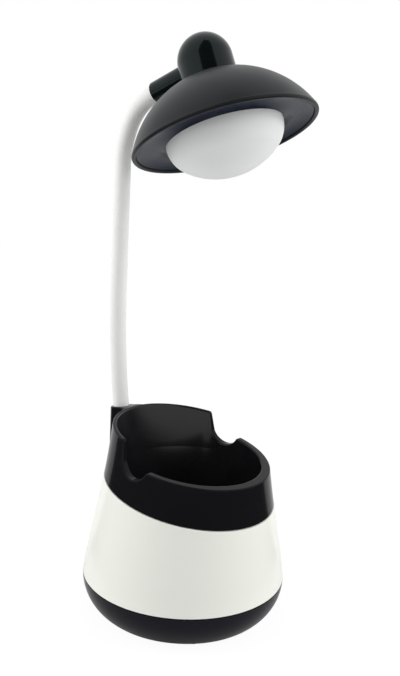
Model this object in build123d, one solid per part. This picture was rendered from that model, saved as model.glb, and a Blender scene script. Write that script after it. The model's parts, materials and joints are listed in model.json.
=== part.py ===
from build123d import *
import os
from math import cos, radians, sin, sqrt, tan

# Desk lamp with pen holder, in millimetres. +Z is up, the lamp faces -Y and the neck stands at +Y.
# The floor is z = 0, and the bell of the base turns about the Z axis.

# Driving sizes: fits
slide_fit = 0.25
press_fit = 0.05
thread_fit = 0.05

# Driving sizes: tray and feet
foot_height = 1.5
foot_radius = 5.0
foot_inset = 7.0
foot_recess = 0.5
foot_count = 4
tray_height = 19.5
tray_round = 24.0
tray_wall = 3.2
tray_floor = 2.4
tray_edge_round = 0.4
tray_foot_round = 1.5
lip_height = 3.0
lip_wall = 1.6
lip_gap = 0.6

# Driving sizes: tray screws, posts and the legs of the cup
post_inset = 7.2
post_radius = 4.0
post_height = 6.6
post_gap = 3.8
screw_radius = 1.45
screw_reach = 12.0
screw_head_radius = 2.8
screw_head_height = 1.6
screw_head_sunk = 0.5

# Driving sizes: bell of the shell and cup
shell_bottom_radius = 57.6
shell_wall = 2.2
shell_rise = 50.5
shell_edge_round = 0.4
waist_in = 3.1
waist_rise = 19.0
waist_bulge = 0.18
throat_in = 10.35
throat_rise = 59.0
throat_flare = 0.2
cup_taper = 0.112
bell_spare = 25.0
slant = 10.2
ledge_drop = 3.2
ledge_width = 2.2
ledge_height = 2.0

# Driving sizes: pen cup
cup_step = 0.25
cup_joint_gap = 0.2
cup_edge_round = 0.5
cup_skirt_wall = 1.8
cup_rim_rise = 20.5
cup_back_rise = 9.7
cup_floor_rise = 15.0
cup_floor_wall = 2.5
cup_wall = 1.95
cup_draft = 1.8
cup_vessel_wall = 2.0
cup_groove_rise = 5.5
cup_groove_cover = 4.0
notch_radius = 9.0
notch_y = 3.0
notch_rise = 2.5
notch_corner = 2.0
back_wall_lean = 8.0
rim_round = 0.8
boss_out = 10.5
boss_wall = 1.45
boss_blend = 6.0
boss_root_sunk = 0.2
boss_drop = 2.9
boss_ridge_round = 15.0
corbel_out = 6.1
corbel_rise = 3.0
corbel_gap = 1.2

# Driving sizes: counterweight, cell and its holder
weight_gap = 4.4
weight_height = 4.0
weight_chamfer = 0.5
cell_radius = 9.2
cell_length = 65.0
cell_round = 0.9
cell_y = 3.0
holder_wall = 1.5
holder_base = 1.6
holder_side = 6.0
holder_window = 39.0
cell_lead_radius = 0.8
cell_lead_turn = 4.0
cell_lead_out = 6.0

# Driving sizes: control board, switch and inlet
board_thick = 1.6
board_width = 24.0
board_rise = 3.0
board_height = 21.0
board_boss_x = 9.0
board_boss_rise = 10.5
board_boss_radius = 2.2
board_screw_radius = 0.95
board_screw_reach = 4.0
board_screw_head_radius = 1.9
board_screw_head = 1.0
switch_rise = 16.0
switch_size = 8.0
switch_depth = 2.7
switch_chamfer = 0.8
button_radius = 4.5
button_flange_width = 0.6
button_flange = 0.9
button_stand = 1.8
button_round = 0.9
button_dimple = 0.4
button_dimple_radius = 3.0
button_travel = 1.2
button_stem_radius = 1.6
socket_rise = 5.0
socket_width = 8.9
socket_height = 3.2
socket_depth = 7.3
socket_wall = 0.35
socket_back = 1.5
tongue_width = 6.6
tongue_height = 0.7
window_gap = 1.75

# Driving sizes: gooseneck, from its lead outwards
lead_radius = 1.25
lead_play = 0.45
lead_drop_out = 2.7
lead_drop_rise = 10.5
lead_leave = 2.0
lead_turn = 8.0
lead_cap_turn = 6.0
core_wall = 1.6
core_gap = 0.8
sleeve_play = 0.2
sleeve_wall = 1.25
sleeve_sunk = 4.0
ferrule_length = 14.0
ferrule_step = 0.2
neck_lean = 8.2
neck_low_radius = 493.0
neck_straight = 70.6
neck_bend_radius = 54.0
neck_bend_turn = 25.0
neck_top_radius = 32.0
bend_count = 9
first_bend = 12.0
last_bend_gap = 11.6

# Driving sizes: head
head_tilt = 21.3
collar_reach = 35.3
collar_height = 8.6
collar_wall = 1.25
collar_flange_width = 1.4
collar_flange = 1.6
collar_round = 0.5
rim_radius = 49.9
dome_rise = 33.2
shade_wall = 2.0
bead_radius = 1.2
bead_inset = 1.2
cap_radius = 15.0
cap_draw = 0.25
cap_shoulder_rise = 10.25
cap_wall = 1.8
cap_boss_inset = 3.8
cap_boss_radius = 2.4
cap_screw_radius = 1.0
cap_screw_reach = 8.0
cap_screw_head_radius = 2.0
cap_screw_head = 1.2
wire_hole = 5.0
ring_width = 18.5
ring_wall = 1.8
ring_edge_rise = 0.3
ring_mouth_drop = 2.0
ring_hollow = 2.2
ring_depth = 11.4
diffuser_wall = 1.6
diffuser_depth = 21.6
diffuser_shoulder = 16.0
diffuser_flange = 1.4
diffuser_flange_height = 1.8
led_board_thick = 1.6
led_board_margin = 1.5
led_boss_inset = 11.1
led_boss_radius = 3.0
led_boss_count = 3
led_screw_radius = 1.2
led_screw_reach = 6.0
led_screw_head_radius = 2.4
led_screw_head = 1.4
chip_width = 2.8
chip_length = 3.5
chip_height = 0.7
chip_chamfer = 0.2
inner_chip_circle = 9.0
inner_chip_count = 6
outer_chip_circle = 18.0
outer_chip_count = 12


def circle_height(radius, across):
    """Height of a circle's edge above its centre, at a distance across from it."""
    return sqrt(radius * radius - across * across)


# Heights that follow from the driving sizes
shell_bottom = foot_height + tray_height
tray_floor_top = foot_height + tray_floor
post_top = tray_floor_top + post_height
waist_height = shell_bottom + waist_rise
throat_height = shell_bottom + throat_rise
shell_cut_height = shell_bottom + shell_rise
cup_rim_height = shell_cut_height + cup_rim_rise
cup_back_height = cup_rim_height + cup_back_rise
cup_floor_height = shell_bottom + cup_floor_rise
cup_bottom = cup_floor_height - cup_floor_wall
cup_groove_height = shell_cut_height + cup_groove_rise
cup_draft_height = cup_groove_height + cup_groove_cover
notch_height = cup_rim_height + notch_rise
bell_end = cup_back_height + bell_spare
weight_top = tray_floor_top + weight_height
cell_z = weight_top + holder_base + press_fit + cell_radius
board_bottom = shell_bottom + board_rise
board_boss_z = board_bottom + board_boss_rise
switch_z = board_bottom + switch_rise
socket_z = board_bottom + socket_rise
lead_drop_z = shell_cut_height + lead_drop_rise
far = 200.0


# Outline of the bell, shared by the shell and the cup
def bell_lines(inset):
    """Outline of the bell, drawn an inset in from the outside of the shell."""
    low = (shell_bottom_radius - inset, shell_bottom)
    waist = (low[0] - waist_in, waist_height)
    throat = (low[0] - throat_in, throat_height)
    end = (throat[0] - cup_taper * (bell_end - throat_height), bell_end)
    belly = ((low[0] + waist[0]) / 2 + waist_bulge, (low[1] + waist[1]) / 2)
    flare = ((waist[0] + throat[0]) / 2 - throat_flare, (waist[1] + throat[1]) / 2)
    flank = ThreePointArc(waist, flare, throat)
    return ThreePointArc(low, belly, waist), flank, TangentArc(throat, end, tangent=flank % 1)


def bell_radius(height, inset, slope=0.0):
    """Radius where a line from the axis, level or sloped, meets the bell an inset in from the outside."""
    probe = Line((0, height), (far, height + far * slope))
    for line in bell_lines(inset):
        meeting = probe.find_intersection_points(line)
        if meeting:
            return meeting[0].X
    return shell_bottom_radius - inset


# Radii and depths that follow from the driving sizes
tray_center = shell_bottom_radius - tray_round
tray_floor_radius = tray_center + circle_height(tray_round - tray_wall, tray_height - tray_floor)
tray_bottom_radius = tray_center + circle_height(tray_round, tray_height)
foot_circle = tray_bottom_radius - foot_inset
weight_radius = tray_floor_radius - weight_gap
cup_inset = shell_wall + slide_fit
cup_top_radius = bell_radius(cup_back_height, cup_step, tan(radians(slant)))
cup_bore_radius = cup_top_radius - cup_wall
cup_floor_radius = cup_bore_radius - cup_draft
post_circle = cup_floor_radius - post_inset
button_flange_radius = button_radius + button_flange_width
window_width = socket_width + 2 * window_gap
window_height = socket_height + 2 * window_gap
core_bore = lead_radius + lead_play
core_radius = core_bore + core_wall
sleeve_bore = core_radius + sleeve_play
sleeve_radius = sleeve_bore + sleeve_wall
ferrule_radius = sleeve_radius - ferrule_step
boss_radius = sleeve_radius + boss_wall
boss_y = cup_bore_radius + boss_out
boss_top = cup_back_height + boss_y * tan(radians(slant)) - boss_drop
corbel_foot_y = cup_bore_radius + corbel_out
lead_drop_y = cup_bore_radius + lead_drop_out


def outline_face(*lines):
    """Face inside a closed outline of lines and arcs."""
    return make_face([edge for line in lines for edge in line.edges()])


def turned(*lines):
    """Solid turned about Z from an outline drawn as radius and height."""
    return revolve(Plane.XZ * outline_face(*lines), Axis.Z)


def arc_about(center, start, end):
    """Arc from start to end about a centre, the short way round."""
    first = Vector(*start) - Vector(*center)
    last = Vector(*end) - Vector(*center)
    middle = Vector(*center) + (first + last).normalized() * first.length
    return ThreePointArc(Vector(*start), middle, Vector(*end))


def around(count, radius, first_angle=90.0):
    """Places spaced evenly on a circle about Z."""
    return PolarLocations(radius, count, first_angle)


def rod(radius, bottom, top, x=0.0, y=0.0):
    """Upright cylinder between two heights."""
    return Pos(x, y, bottom) * Cylinder(radius, top - bottom, align=(Align.CENTER, Align.CENTER, Align.MIN))


def rod_back(radius, front, back, x, z):
    """Cylinder along Y between two depths."""
    shape = Cylinder(radius, back - front, align=(Align.CENTER, Align.CENTER, Align.MIN))
    return Pos(x, front, z) * Rot(-90, 0, 0) * shape


def slanted(height):
    """Plane of the slanted cuts, at a height on the axis of the bell."""
    tilt = radians(slant)
    return Plane(origin=(0, 0, height), x_dir=(1, 0, 0), z_dir=(0, -sin(tilt), cos(tilt)))


def slant_height(height, y):
    """Height of a slanted plane at a depth."""
    return height + y * tan(radians(slant))


def above(plane):
    """Everything above a plane."""
    return plane * Box(far * 2, far * 2, far, align=(Align.CENTER, Align.CENTER, Align.MIN))


def below(plane):
    """Everything below a plane."""
    return plane * Box(far * 2, far * 2, far, align=(Align.CENTER, Align.CENTER, Align.MAX))


def side_cut(*lines):
    """Solid right across X from an outline drawn as depth and height."""
    return extrude(Plane.YZ * outline_face(*lines), far, both=True)


def bell(inset):
    """The whole bell as one solid, an inset in from the outside of the shell."""
    lines = bell_lines(inset)
    closing = Polyline(lines[-1] @ 1, (0, bell_end), (0, shell_bottom), lines[0] @ 0)
    return turned(*lines, closing)


# The board stands off the shell by the switch, the travel of its button and the button's flange
button_flange_back = bell_radius(switch_z + button_flange_radius, shell_wall) - slide_fit
board_y = button_flange_back - button_flange - button_travel - slide_fit - switch_depth
board_front = board_y - board_thick


# Tray, its feet and screws
def post_places():
    """Places of the three posts: one behind the cell, and two in front of its holder."""
    front_y = cell_y - cell_radius - holder_wall - post_radius - post_gap
    side_x = circle_height(post_circle, front_y)
    return [Pos(0, post_circle), Pos(side_x, front_y), Pos(-side_x, front_y)]


def base_tray():
    center = (tray_center, shell_bottom)
    wall_radius = shell_bottom_radius - tray_wall
    lip_outer = shell_bottom_radius - shell_wall - lip_gap
    tray = turned(
        arc_about(center, (shell_bottom_radius, shell_bottom), (tray_bottom_radius, foot_height)),
        Polyline(
            (tray_bottom_radius, foot_height),
            (0, foot_height),
            (0, tray_floor_top),
            (tray_floor_radius, tray_floor_top),
        ),
        arc_about(center, (tray_floor_radius, tray_floor_top), (wall_radius, shell_bottom)),
        Line((wall_radius, shell_bottom), (shell_bottom_radius, shell_bottom)),
    )
    rings = tray.edges().filter_by(GeomType.CIRCLE)
    top_edge = rings.group_by(Axis.Z)[-1].sort_by(SortBy.RADIUS)[-1]
    tray = fillet(top_edge, tray_edge_round)
    bottom_edge = tray.edges().filter_by(GeomType.CIRCLE).group_by(Axis.Z)[0]
    tray = fillet(bottom_edge, tray_foot_round)
    lip = rod(lip_outer, shell_bottom, shell_bottom + lip_height)
    lip += rod(wall_radius + tray_wall / 2, shell_bottom - lip_height, shell_bottom)
    tray += lip - rod(lip_outer - lip_wall, 0, far)
    seat = foot_height + screw_head_sunk + screw_head_height
    for place in post_places():
        tray += place * rod(post_radius, foot_height + foot_recess, post_top)
        tray -= place * rod(screw_radius + slide_fit, 0, far)
        tray -= place * rod(screw_head_radius + slide_fit, 0, seat)
    for place in around(foot_count, foot_circle, 45.0):
        tray -= place * rod(foot_radius + slide_fit, 0, foot_height + foot_recess)
    return tray


def rubber_feet():
    pad = rod(foot_radius, 0, foot_height + foot_recess)
    pad = fillet(pad.edges().sort_by(Axis.Z)[0], foot_recess)
    return [place * pad for place in around(foot_count, foot_circle, 45.0)]


def tray_screws():
    head_bottom = foot_height + screw_head_sunk
    head_top = head_bottom + screw_head_height
    head = rod(screw_head_radius, head_bottom, head_top)
    head = fillet(head.edges().sort_by(Axis.Z)[0], screw_head_height / 2)
    screw = head + rod(screw_radius, head_top, post_top + screw_reach)
    return [place * screw for place in post_places()]


# White shell
def outer_shell():
    outer = bell(0) - above(slanted(shell_cut_height))
    outer = fillet(outer.edges().filter_by(GeomType.CIRCLE).sort_by(Axis.Z)[0], shell_edge_round)
    outer = fillet(outer.faces().sort_by(Axis.Z)[-1].edges(), shell_edge_round)
    shell = outer - bell(shell_wall)
    ledge = bell(shell_wall / 2) - bell(shell_wall + ledge_width)
    ledge -= above(slanted(shell_cut_height - ledge_drop))
    ledge -= below(slanted(shell_cut_height - ledge_drop - ledge_height))
    ledge -= rod(lead_radius + slide_fit * 2, 0, far, 0, lead_drop_y)
    shell += ledge
    for side in (-1, 1):
        boss = rod_back(board_boss_radius, board_y, far, side * board_boss_x, board_boss_z)
        shell += boss & bell(shell_wall / 2)
        pilot = board_screw_radius + thread_fit
        shell -= rod_back(pilot, 0, board_y + board_screw_reach + slide_fit, side * board_boss_x, board_boss_z)
    shell -= rod_back(button_radius + slide_fit, board_y, far, 0, switch_z)
    window = Pos(0, board_y, socket_z) * Rot(90, 0, 0) * SlotOverall(window_width, window_height)
    shell -= extrude(window, far, dir=(0, 1, 0))
    return shell


# Pen cup
def cup_mouth():
    """Everything above the rim: the low front rim, the two notches and the high back wall."""
    lip_drop = notch_height - cup_rim_height
    tilt = radians(slant)
    # the notch meets the slanted rim where a line crosses its circle
    reach = notch_y * sin(tilt) - lip_drop * cos(tilt)
    along = sqrt(notch_radius ** 2 - reach ** 2)
    lip_y = (notch_y * cos(tilt) + lip_drop * sin(tilt) - along) * cos(tilt)
    lip = (lip_y, slant_height(cup_rim_height, lip_y))
    notch_center = (notch_y, notch_height)
    bottom = (notch_y, notch_height - notch_radius)
    # the end of the back wall leans back and leaves the notch square to its radius
    lean = radians(back_wall_lean)
    wall_foot = (notch_y + notch_radius * cos(lean), notch_height - notch_radius * sin(lean))
    wall_rise = slant_height(cup_back_height, wall_foot[0]) - wall_foot[1]
    wall_length = wall_rise / (cos(lean) - sin(lean) * tan(tilt))
    wall_top = (wall_foot[0] + wall_length * sin(lean), wall_foot[1] + wall_length * cos(lean))
    # the back wall rises to a ridge, and the top of the boss falls from it square to the neck
    boss_fall = tan(radians(neck_lean))
    ridge_y = (boss_top + boss_y * boss_fall - cup_back_height) / (tan(tilt) + boss_fall)
    ridge = (ridge_y, slant_height(cup_back_height, ridge_y))
    face = outline_face(
        Line((-far, slant_height(cup_rim_height, -far)), lip),
        arc_about(notch_center, lip, bottom),
        arc_about(notch_center, bottom, wall_foot),
        Polyline(wall_foot, wall_top, ridge, (far, boss_top - (far - boss_y) * boss_fall), (far, far)),
        Polyline((far, far), (-far, far), (-far, slant_height(cup_rim_height, -far))),
    )
    corners = [face.vertices().sort_by_distance((*point, 0))[0] for point in (lip, wall_top)]
    face = fillet(corners, notch_corner)
    face = fillet(face.vertices().sort_by_distance((*ridge, 0))[0], boss_ridge_round)
    return extrude(Plane.YZ * face, far, both=True)


def neck_boss():
    """Boss behind the back wall, with hollow blends to the cup, cut away below to a corbel."""
    root = cup_top_radius - boss_root_sunk
    side = boss_radius + boss_blend
    blend_y = circle_height(root + boss_blend, side)
    touch = (side * root / (root + boss_blend), blend_y * root / (root + boss_blend))
    inside_y = cup_bore_radius - cup_wall
    tip = (0, boss_y + boss_radius)
    half = [
        Line((0, inside_y), (touch[0], inside_y)),
        Line((touch[0], inside_y), touch),
        arc_about((side, blend_y), touch, (boss_radius, blend_y)),
        Line((boss_radius, blend_y), (boss_radius, boss_y)),
        arc_about((0, boss_y), (boss_radius, boss_y), tip),
    ]
    plan = outline_face(*half, *[line.mirror(Plane.YZ) for line in half])
    boss = extrude(plan, bell_end)
    foot_z = slant_height(shell_cut_height, corbel_foot_y) + corbel_gap
    tip_y = boss_y + boss_radius
    corbel = side_cut(
        Polyline(
            (corbel_foot_y, 0),
            (corbel_foot_y, foot_z),
            (tip_y, foot_z + corbel_rise),
            (far, foot_z + corbel_rise),
            (far, 0),
            (corbel_foot_y, 0),
        )
    )
    return boss - corbel - below(slanted(shell_cut_height + corbel_gap))


def rounded_rim(cup):
    """The cup with the edges of its rim, notches and back wall rounded."""
    low = notch_height - notch_radius * 2
    cut = [face for face in cup.faces() if face.center().Z > low and is_rim(face)]
    edges = [edge for face in cut for edge in face.edges()]
    ends = [edge for edge in edges if sum(edge.is_same(other) for other in edges) == 1]
    return fillet(ends, rim_round)


def is_rim(face):
    """Whether a face was cut right across the cup: flat and facing no side, or round about X."""
    if face.geom_type == GeomType.PLANE:
        return abs(face.normal_at().X) < 0.01 and abs(face.normal_at().Y) + face.normal_at().Z > 0.5
    return face.geom_type == GeomType.CYLINDER and abs(face.axis_of_rotation.direction.X) > 0.99


def pen_cup():
    outside = bell(cup_step) - below(slanted(shell_cut_height + cup_joint_gap))
    outside = fillet(outside.faces().sort_by(Axis.Z)[0].edges(), cup_edge_round)
    skirt = outside + (bell(cup_inset) - below(slanted(shell_cut_height - ledge_drop)))
    draft = (cup_bore_radius - cup_floor_radius) / (cup_draft_height - cup_floor_height)
    groove_radius = cup_floor_radius + cup_vessel_wall + draft * (cup_groove_height - cup_floor_height)
    groove = bell(cup_inset + cup_skirt_wall) - rod(groove_radius, 0, far)
    skirt -= groove - above(Plane.XY.offset(cup_groove_height))
    vessel = turned(
        Polyline(
            (0, cup_bottom),
            (cup_floor_radius + cup_vessel_wall, cup_bottom),
            (cup_bore_radius + cup_vessel_wall, cup_draft_height),
            (0, cup_draft_height),
            (0, cup_bottom),
        )
    )
    cup = skirt + vessel + neck_boss()
    cup -= cup_mouth()
    cavity = turned(
        Polyline(
            (0, cup_floor_height),
            (cup_floor_radius, cup_floor_height),
            (cup_bore_radius, cup_draft_height),
            (cup_bore_radius, far),
            (0, far),
            (0, cup_floor_height),
        )
    )
    cup = rounded_rim(cup - cavity)
    for place in post_places():
        cup += place * rod(post_radius, post_top, cup_floor_height - cup_floor_wall / 2)
        cup -= place * rod(screw_radius + thread_fit, post_top, post_top + screw_reach + slide_fit)
    cup -= neck_tube(sleeve_radius + slide_fit / 2, -sleeve_sunk - slide_fit, sleeve_sunk)
    ferrule_foot = -sleeve_sunk - slide_fit - ferrule_length
    cup -= neck_tube(ferrule_radius + press_fit, ferrule_foot, -sleeve_sunk)
    cup -= swept_rod(lead_radius + slide_fit, lower_lead_path())
    return cup


# Weight, cell and holder
def counterweight():
    plate = rod(weight_radius, tray_floor_top, weight_top)
    plate = chamfer(plate.edges().sort_by(Axis.Z)[-1], weight_chamfer)
    for place in post_places():
        plate -= place * rod(post_radius + slide_fit, 0, far)
    return plate


def battery_holder():
    length = cell_length + 2 * (holder_wall + slide_fit)
    width = 2 * (cell_radius + holder_wall)
    top = cell_z + holder_side
    block = Pos(0, cell_y, weight_top) * Box(
        length, width, top - weight_top, align=(Align.CENTER, Align.CENTER, Align.MIN)
    )
    inside = length - 2 * holder_wall
    trough = Pos(0, cell_y, cell_z) * Rot(0, 90, 0) * Cylinder(cell_radius + press_fit, inside)
    mouth = Pos(0, cell_y, cell_z) * Box(
        inside,
        2 * circle_height(cell_radius, holder_side),
        far,
        align=(Align.CENTER, Align.CENTER, Align.MIN),
    )
    window = Pos(0, cell_y, cell_z) * Box(
        holder_window, width * 2, far, align=(Align.CENTER, Align.CENTER, Align.MIN)
    )
    return block - trough - mouth - window


def battery_cell():
    can = Pos(0, cell_y, cell_z) * Rot(0, 90, 0) * Cylinder(cell_radius, cell_length)
    return fillet(can.edges().filter_by(GeomType.CIRCLE), cell_round)


def battery_leads():
    out = cell_length / 2
    height = cell_z + holder_side + cell_lead_radius + slide_fit
    leads = []
    for side in (-1, 1):
        path = FilletPolyline(
            (side * (out + press_fit), cell_y, height),
            (side * (out + cell_lead_out), cell_y, height),
            (side * out, (cell_y + board_front) / 2, height),
            (side * out / 2, board_front - cell_lead_turn, height),
            (side * board_width / 4, board_front - cell_lead_radius * 2, board_bottom + cell_lead_out),
            radius=cell_lead_turn,
        )
        leads.append(swept_rod(cell_lead_radius, path.edges()))
    return leads


# Control board with its switch, button and inlet
def control_board():
    board = Pos(0, board_y, board_bottom) * Box(
        board_width, board_thick, board_height, align=(Align.CENTER, Align.MAX, Align.MIN)
    )
    for side in (-1, 1):
        hole = board_screw_radius + slide_fit
        board -= rod_back(hole, 0, far, side * board_boss_x, board_boss_z)
    return board


def board_screws():
    screws = []
    for side in (-1, 1):
        x = side * board_boss_x
        head_front = board_front - board_screw_head
        screw_head = rod_back(board_screw_head_radius, head_front, board_front, x, board_boss_z)
        shank = rod_back(board_screw_radius, board_front, board_y + board_screw_reach, x, board_boss_z)
        screws.append(screw_head + shank)
    return screws


def switch_body():
    body = Pos(0, board_y, switch_z) * Box(
        switch_size, switch_depth, switch_size, align=(Align.CENTER, Align.MIN, Align.CENTER)
    )
    body = chamfer(body.edges().filter_by(Axis.Y), switch_chamfer)
    return body - rod_back(button_stem_radius + slide_fit, board_y + slide_fit, far, 0, switch_z)


def switch_button():
    flange_front = button_flange_back - button_flange
    face = bell_radius(switch_z, 0) + button_stand
    cap = rod_back(button_radius, flange_front, face, 0, switch_z)
    cap = fillet(cap.edges().sort_by(Axis.Y)[-1], button_round)
    flange = rod_back(button_flange_radius, flange_front, button_flange_back, 0, switch_z)
    stem_front = board_y + slide_fit * 2 + button_travel
    stem = rod_back(button_stem_radius, stem_front, flange_front, 0, switch_z)
    ball_radius = (button_dimple_radius ** 2 + button_dimple ** 2) / (2 * button_dimple)
    dimple = Pos(0, face - button_dimple + ball_radius, switch_z) * Sphere(ball_radius)
    return cap + flange + stem - dimple


def charge_socket():
    can = extrude(SlotOverall(socket_width, socket_height), socket_depth)
    hollow = SlotOverall(socket_width - 2 * socket_wall, socket_height - 2 * socket_wall)
    mouth = Pos(0, 0, socket_back) * extrude(hollow - Rectangle(tongue_width, tongue_height), socket_depth)
    return Pos(0, board_y, socket_z) * Rot(-90, 0, 0) * (can - mouth)


# Gooseneck: its centre line lies in the plane x = 0
neck_top_turn = 90.0 - head_tilt - neck_bend_turn
neck_spans = (
    (neck_low_radius * radians(neck_lean), neck_low_radius),
    (neck_straight, None),
    (neck_bend_radius * radians(neck_bend_turn), neck_bend_radius),
    (neck_top_radius * radians(neck_top_turn), neck_top_radius),
)
neck_length = sum(length for length, radius in neck_spans)
neck_marks = [sum(length for length, radius in neck_spans[:n]) for n in range(len(neck_spans) + 1)]
bend_step = (neck_length - last_bend_gap - first_bend) / (bend_count - 1)
bends = [first_bend + n * bend_step for n in range(bend_count)]


def neck_at(distance):
    """Depth, height and lean of the neck's centre line, a distance along it from the top of the boss."""
    y, z, lean = boss_y, boss_top, radians(neck_lean)
    left = distance
    for length, radius in neck_spans:
        step = min(left, length)
        if radius is None or step < 0:
            y += step * sin(lean)
            z += step * cos(lean)
        else:
            next_lean = lean - step / radius
            y += radius * (cos(next_lean) - cos(lean))
            z += radius * (sin(lean) - sin(next_lean))
            lean = next_lean
        left -= step
        if left <= 0:
            break
    return y + left * sin(lean), z + left * cos(lean), lean


def neck_point(distance):
    y, z, lean = neck_at(distance)
    return Vector(0, y, z)


def neck_edges(start, end):
    """Lines and arcs of the neck's centre line between two distances along it."""
    stops = [start] + [mark for mark in neck_marks if start < mark < end] + [end]
    edges = []
    for first, last in zip(stops, stops[1:]):
        bent = abs(neck_at(first)[2] - neck_at(last)[2]) > 1e-9
        if bent:
            edges.append(ThreePointArc(neck_point(first), neck_point((first + last) / 2), neck_point(last)))
        else:
            edges.append(Line(neck_point(first), neck_point(last)))
    return edges


def swept_rod(radius, path):
    """Round rod along a path."""
    route = Wire(path)
    return sweep(Plane(origin=route @ 0, z_dir=route % 0) * Circle(radius), path=route)


def neck_tube(radius, start, end, bore=0.0):
    """Rod or tube along the neck between two distances along it."""
    tube = swept_rod(radius, neck_edges(start, end))
    if bore:
        tube -= swept_rod(bore, neck_edges(start, end))
    return tube


def lower_lead_path():
    """Route of the lead from the foot of the neck down the back of the cup to the board."""
    start = neck_point(-sleeve_sunk - ferrule_length + lead_turn / 2)
    leave = neck_point(-sleeve_sunk - ferrule_length - lead_leave)
    route = FilletPolyline(
        start,
        leave,
        (0, lead_drop_y, lead_drop_z),
        (0, lead_drop_y, board_bottom + board_height + slide_fit),
        radius=lead_turn,
    )
    return route.edges()


def upper_lead_path():
    """Route of the lead from the collar through the cap down to the light board, in the head's frame."""
    route = FilletPolyline(
        (0, collar_reach, collar_rise),
        (0, 0, collar_rise),
        (0, 0, led_board_top + slide_fit),
        radius=lead_cap_turn,
    )
    return route.edges()


def led_lead():
    low_end = -sleeve_sunk - ferrule_length + lead_turn / 2
    lead = swept_rod(lead_radius, lower_lead_path())
    lead += neck_tube(lead_radius, low_end, neck_length)
    lead += head * swept_rod(lead_radius, upper_lead_path())
    return lead


def core_lengths():
    """Lengths of the wound core, from the boss to the collar, with a gap at each bend."""
    foot = -sleeve_sunk - ferrule_length
    tip = neck_length + sleeve_sunk + ferrule_length
    starts = [foot] + [bend + core_gap / 2 for bend in bends]
    ends = [bend - core_gap / 2 for bend in bends] + [tip]
    return [neck_tube(core_radius, start, end, core_bore) for start, end in zip(starts, ends)]


# Head: built upright about Z with the rim at z = 0 and the neck at +Y, then tilted into place
dome_radius = (rim_radius ** 2 + dome_rise ** 2) / (2 * dome_rise)
dome_center = (0, dome_rise - dome_radius)
inner_dome = dome_radius - shade_wall
seat_radius = cap_radius + slide_fit
seat_rise = dome_center[1] + circle_height(dome_radius, seat_radius)
seat_under = seat_rise - shade_wall
cap_shoulder_radius = cap_radius - cap_draw
cap_boss_x = cap_shoulder_radius - cap_wall - cap_boss_inset
collar_radius = sleeve_radius + collar_wall
collar_flange_radius = collar_radius + collar_flange_width
collar_rise = seat_rise + collar_height
collar_inset = circle_height(cap_shoulder_radius - cap_wall - slide_fit, collar_flange_radius) - collar_flange
diffuser_radius = rim_radius - ring_width
led_board_radius = diffuser_radius + diffuser_flange + 2 * slide_fit + ring_wall
led_board_top = dome_center[1] + circle_height(inner_dome, led_board_radius + led_board_margin)
led_boss_circle = led_board_radius - led_boss_inset
ring_top_rise = led_board_top - led_board_thick
ring_ledge_rise = ring_top_rise - ring_depth
ring_mouth_rise = ring_ledge_rise - ring_mouth_drop
bead_inside = rim_radius - bead_inset - bead_radius
ring_edge = min(circle_height(inner_dome, ring_edge_rise - dome_center[1]), bead_inside)
ring_edge_top = circle_height(inner_dome, ring_edge_rise + ring_wall - dome_center[1])
diffuser_side = diffuser_radius - diffuser_shoulder
diffuser_crown = (diffuser_side ** 2 + diffuser_depth ** 2 - diffuser_shoulder ** 2) / (
    2 * (diffuser_depth - diffuser_shoulder)
)
tilt_sine = sin(radians(head_tilt))
tilt_cosine = cos(radians(head_tilt))
neck_end_y, neck_end_z, neck_end_lean = neck_at(neck_length)
head = Plane(
    origin=(
        0,
        neck_end_y - collar_reach * tilt_cosine - collar_rise * tilt_sine,
        neck_end_z + collar_reach * tilt_sine - collar_rise * tilt_cosine,
    ),
    x_dir=(1, 0, 0),
    z_dir=(0, tilt_sine, tilt_cosine),
)


def shade():
    inner_rim = circle_height(inner_dome, dome_center[1])
    inner_seat = circle_height(inner_dome, seat_under - dome_center[1])
    dish = turned(
        Line((wire_hole, seat_rise), (seat_radius, seat_rise)),
        arc_about(dome_center, (seat_radius, seat_rise), (rim_radius, 0)),
        Line((rim_radius, 0), (inner_rim, 0)),
        arc_about(dome_center, (inner_rim, 0), (inner_seat, seat_under)),
        Polyline((inner_seat, seat_under), (wire_hole, seat_under), (wire_hole, seat_rise)),
    )
    dish += turned(CenterArc((rim_radius - bead_inset, 0), bead_radius, 0, 360))
    ball = Pos(0, 0, dome_center[1]) * Sphere(dome_radius - shade_wall / 2)
    screw_end = led_board_top + led_screw_reach + slide_fit
    for place in around(led_boss_count, led_boss_circle):
        dish += (place * rod(led_boss_radius, led_board_top, far)) & ball
        dish -= place * rod(led_screw_radius + thread_fit, led_board_top, screw_end)
    for side in (-1, 1):
        dish -= rod(cap_screw_radius + slide_fit, 0, far, side * cap_boss_x)
    return dish


def head_cap():
    shoulder = seat_rise + cap_shoulder_rise
    crown = (0, shoulder)
    inner = cap_shoulder_radius - cap_wall
    cap = turned(
        Line((cap_radius - cap_wall, seat_rise), (cap_radius, seat_rise)),
        Line((cap_radius, seat_rise), (cap_shoulder_radius, shoulder)),
        arc_about(crown, (cap_shoulder_radius, shoulder), (0, shoulder + cap_shoulder_radius)),
        Line((0, shoulder + cap_shoulder_radius), (0, shoulder + inner)),
        arc_about(crown, (0, shoulder + inner), (inner, shoulder)),
        Line((inner, shoulder), (cap_radius - cap_wall, seat_rise)),
    )
    ball = Pos(0, 0, shoulder) * Sphere(cap_shoulder_radius - cap_wall / 2)
    drum = rod(cap_shoulder_radius - cap_wall / 2, seat_rise, shoulder)
    for side in (-1, 1):
        cap += rod(cap_boss_radius, seat_rise, far, side * cap_boss_x) & (ball + drum)
        pilot = cap_screw_radius + thread_fit
        cap -= rod(pilot, seat_rise, seat_rise + cap_screw_reach, side * cap_boss_x)
    return cap - rod_back(collar_radius + slide_fit, collar_inset, far, 0, collar_rise)


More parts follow.
